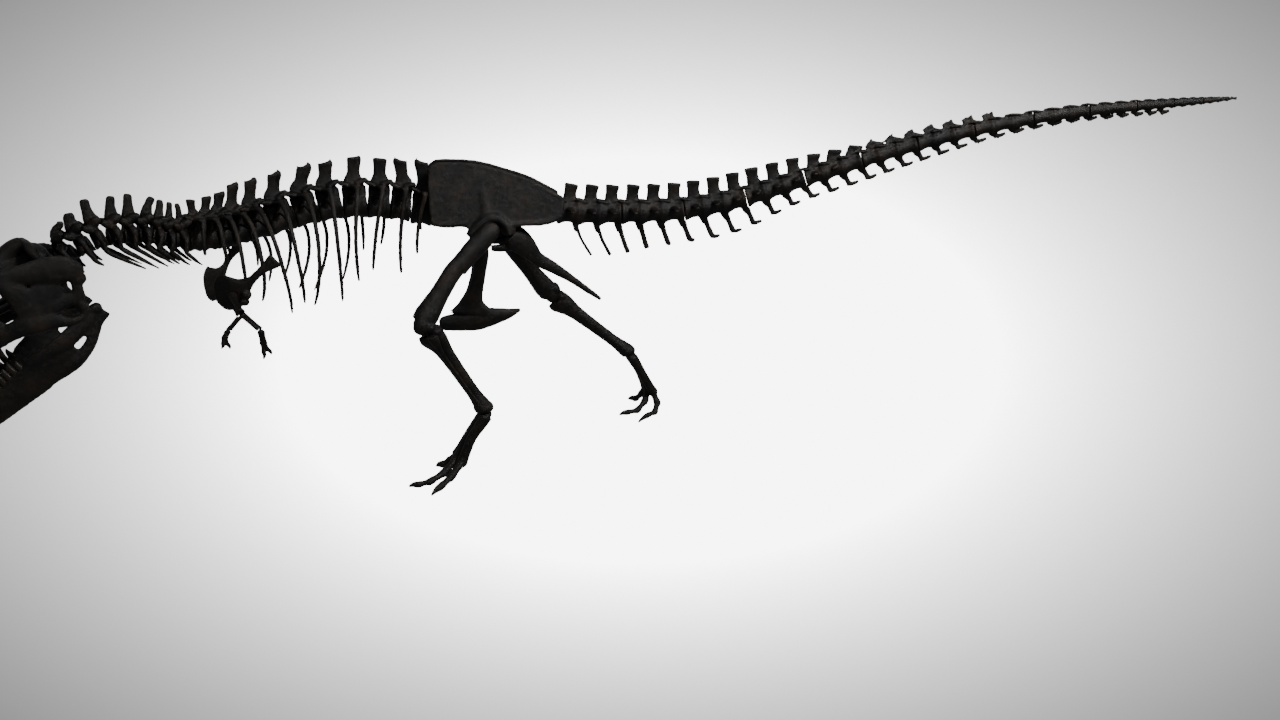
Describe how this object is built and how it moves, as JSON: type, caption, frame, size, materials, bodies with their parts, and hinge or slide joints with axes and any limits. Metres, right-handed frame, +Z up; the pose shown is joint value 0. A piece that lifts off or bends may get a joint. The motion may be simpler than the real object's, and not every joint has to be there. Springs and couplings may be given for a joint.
{
  "type": "dinosaur skeleton",
  "caption": "Complete fossil skeleton of a large two-legged meat-eating dinosaur, posed in mid stride with open jaws and a long raised tail.",
  "frame": {"origin": "on the ground under the middle of the whole skeleton", "axes": "+Z up, the snout points to -X and the tail to +X, the animal's left side is at -Y"},
  "size_m": [10.9595, 2.7251, 3.5074],
  "materials": {
    "fossil_bone": "dark brown-black, semi-gloss"
  },
  "bodies": {
    "root": {"atlas": "fossil_bone", "neck_vertebra_2": "fossil_bone", "neck_vertebra_3": "fossil_bone", "neck_vertebra_4": "fossil_bone", "neck_vertebra_5": "fossil_bone", "neck_vertebra_6": "fossil_bone", "neck_vertebra_7": "fossil_bone", "neck_vertebra_8": "fossil_bone", "neck_vertebra_9": "fossil_bone", "neck_vertebra_10": "fossil_bone", "back_vertebra_1": "fossil_bone", "back_vertebra_2": "fossil_bone", "back_vertebra_3": "fossil_bone", "back_vertebra_4": "fossil_bone", "back_vertebra_5": "fossil_bone", "back_vertebra_6": "fossil_bone", "back_vertebra_7": "fossil_bone", "back_vertebra_8": "fossil_bone", "back_vertebra_9": "fossil_bone", "back_vertebra_10": "fossil_bone", "back_vertebra_11": "fossil_bone", "back_vertebra_12": "fossil_bone", "back_vertebra_13": "fossil_bone", "sacrum": "fossil_bone", "ilium_left": "fossil_bone", "ilium_right": "fossil_bone", "pubis": "fossil_bone", "ischium": "fossil_bone", "femur_left": "fossil_bone", "tibia_left": "fossil_bone", "fibula_left": "fossil_bone", "foot_left": "fossil_bone", "femur_right": "fossil_bone", "tibia_right": "fossil_bone", "fibula_right": "fossil_bone", "foot_right": "fossil_bone", "scapula_left": "fossil_bone", "humerus_left": "fossil_bone", "forearm_left": "fossil_bone", "hand_left": "fossil_bone", "scapula_right": "fossil_bone", "humerus_right": "fossil_bone", "forearm_right": "fossil_bone", "hand_right": "fossil_bone", "skull": "fossil_bone", "lower_jaw": "fossil_bone", "tail_run_1": "fossil_bone", "tail_run_2": "fossil_bone", "tail_run_3": "fossil_bone", "tail_run_4": "fossil_bone", "tail_run_5": "fossil_bone", "tail_run_6": "fossil_bone", "tail_run_7": "fossil_bone", "tail_run_8": "fossil_bone", "tail_run_9": "fossil_bone", "tail_run_10": "fossil_bone", "tail_run_11": "fossil_bone", "tail_run_12": "fossil_bone", "tail_run_13": "fossil_bone", "tail_run_14": "fossil_bone"}
  },
  "joints": []
}
